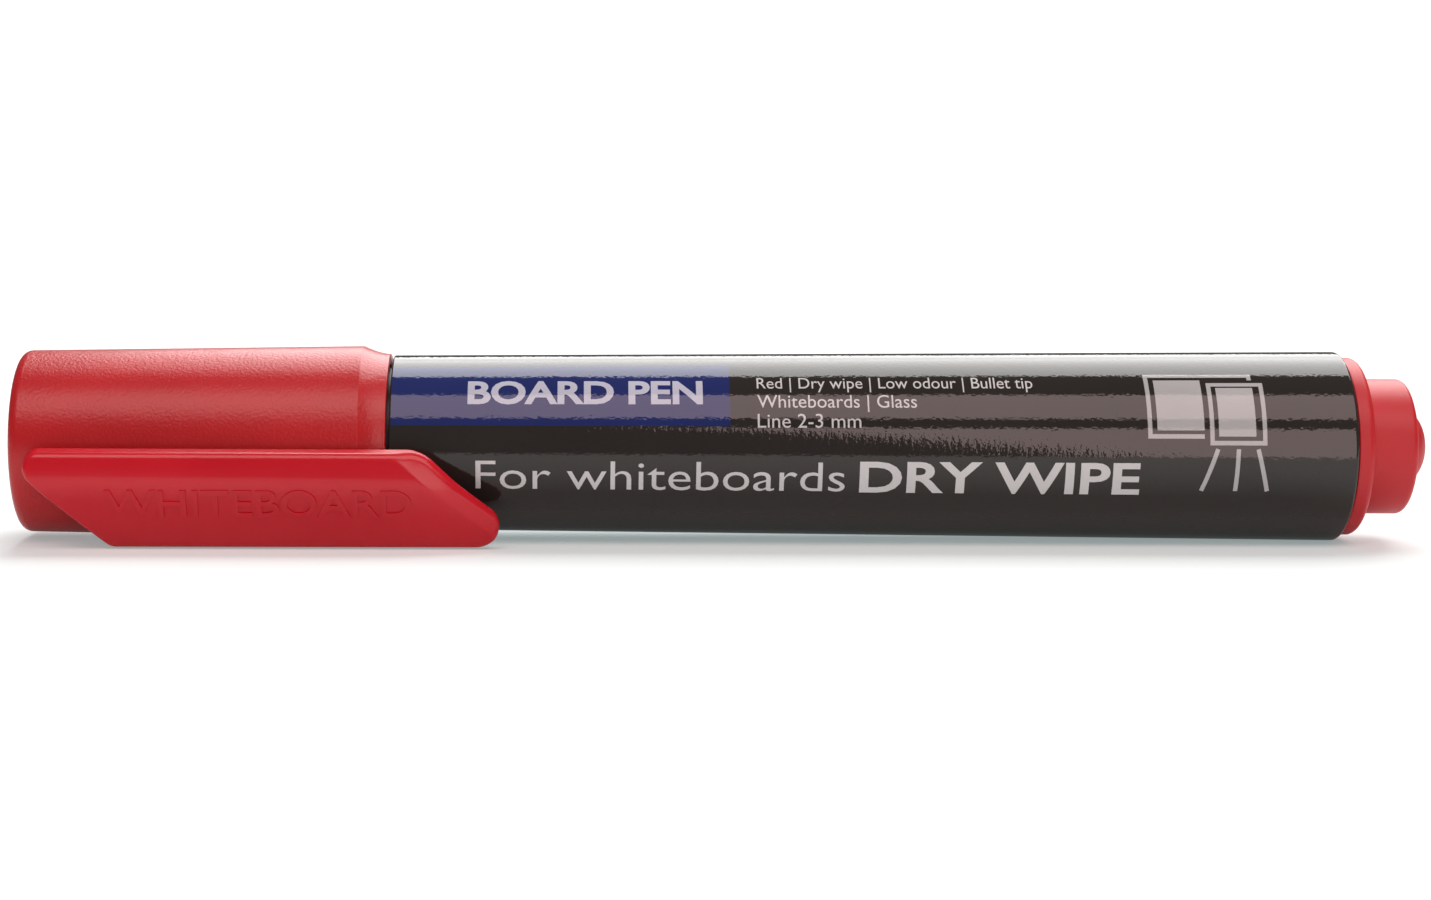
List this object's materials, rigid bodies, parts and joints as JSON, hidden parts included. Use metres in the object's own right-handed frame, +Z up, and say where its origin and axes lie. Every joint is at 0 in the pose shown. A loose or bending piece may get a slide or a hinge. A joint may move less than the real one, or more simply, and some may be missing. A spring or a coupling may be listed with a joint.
{
  "type": "whiteboard marker",
  "caption": "Capped dry-erase marker: drafted barrel with a printed film, pull-off cap with a slanted flat clip, fibre nib and ink reservoir inside, stepped tail plug.",
  "frame": {"origin": "centre of the bounding box's underside, on the table that the capped marker lies on", "axes": "+X along the marker's axis from the cap's closed end to the tail plug, +Z up, with the clip towards -Y and slightly down"},
  "size_m": [0.138, 0.0223, 0.0187],
  "materials": {
    "cap_red": "fine moulded grain, low sheen",
    "clip_red": "smooth semi-gloss",
    "plug_red": "smooth, slightly translucent",
    "barrel_black": "smooth satin",
    "film_black": "glossy shrink film with faint orange peel and printing",
    "liner_white": "natural polyethylene",
    "holder_black": "smooth satin",
    "nib_fibre": "bonded fibre soaked with red ink",
    "reservoir_fibre": "fibre bundle soaked with red ink",
    "wrap_clear": "thin clear film"
  },
  "bodies": {
    "barrel": {"barrel": "barrel_black", "label_film": "film_black", "nib_holder": "holder_black", "nib": "nib_fibre", "ink_reservoir": "reservoir_fibre", "reservoir_wrap": "wrap_clear", "tail_plug": "plug_red"},
    "inner_cap": {"inner_cap": "liner_white"},
    "cap": {"cap_shell": "cap_red"},
    "clip": {"clip": "clip_red"}
  },
  "joints": [
    {"name": "cap_pull", "type": "slide", "parent": "barrel", "child": "inner_cap", "axis": [-1, 0, 0], "range_m": [0, 0.045]},
    {"name": "cap_twist", "type": "hinge", "parent": "inner_cap", "child": "cap", "pos_m": [-0.059, 0.00179, 0.00937], "axis": [1, 0, 0], "continuous": true},
    {"name": "clip_flex", "type": "hinge", "parent": "cap", "child": "clip", "pos_m": [-0.0618, -0.00646, 0.00579], "axis": [0, 0.3974, -0.9176], "range_deg": [0, 4], "stiffness_Nm_per_rad": 0.5, "springref_deg": -1.15}
  ]
}
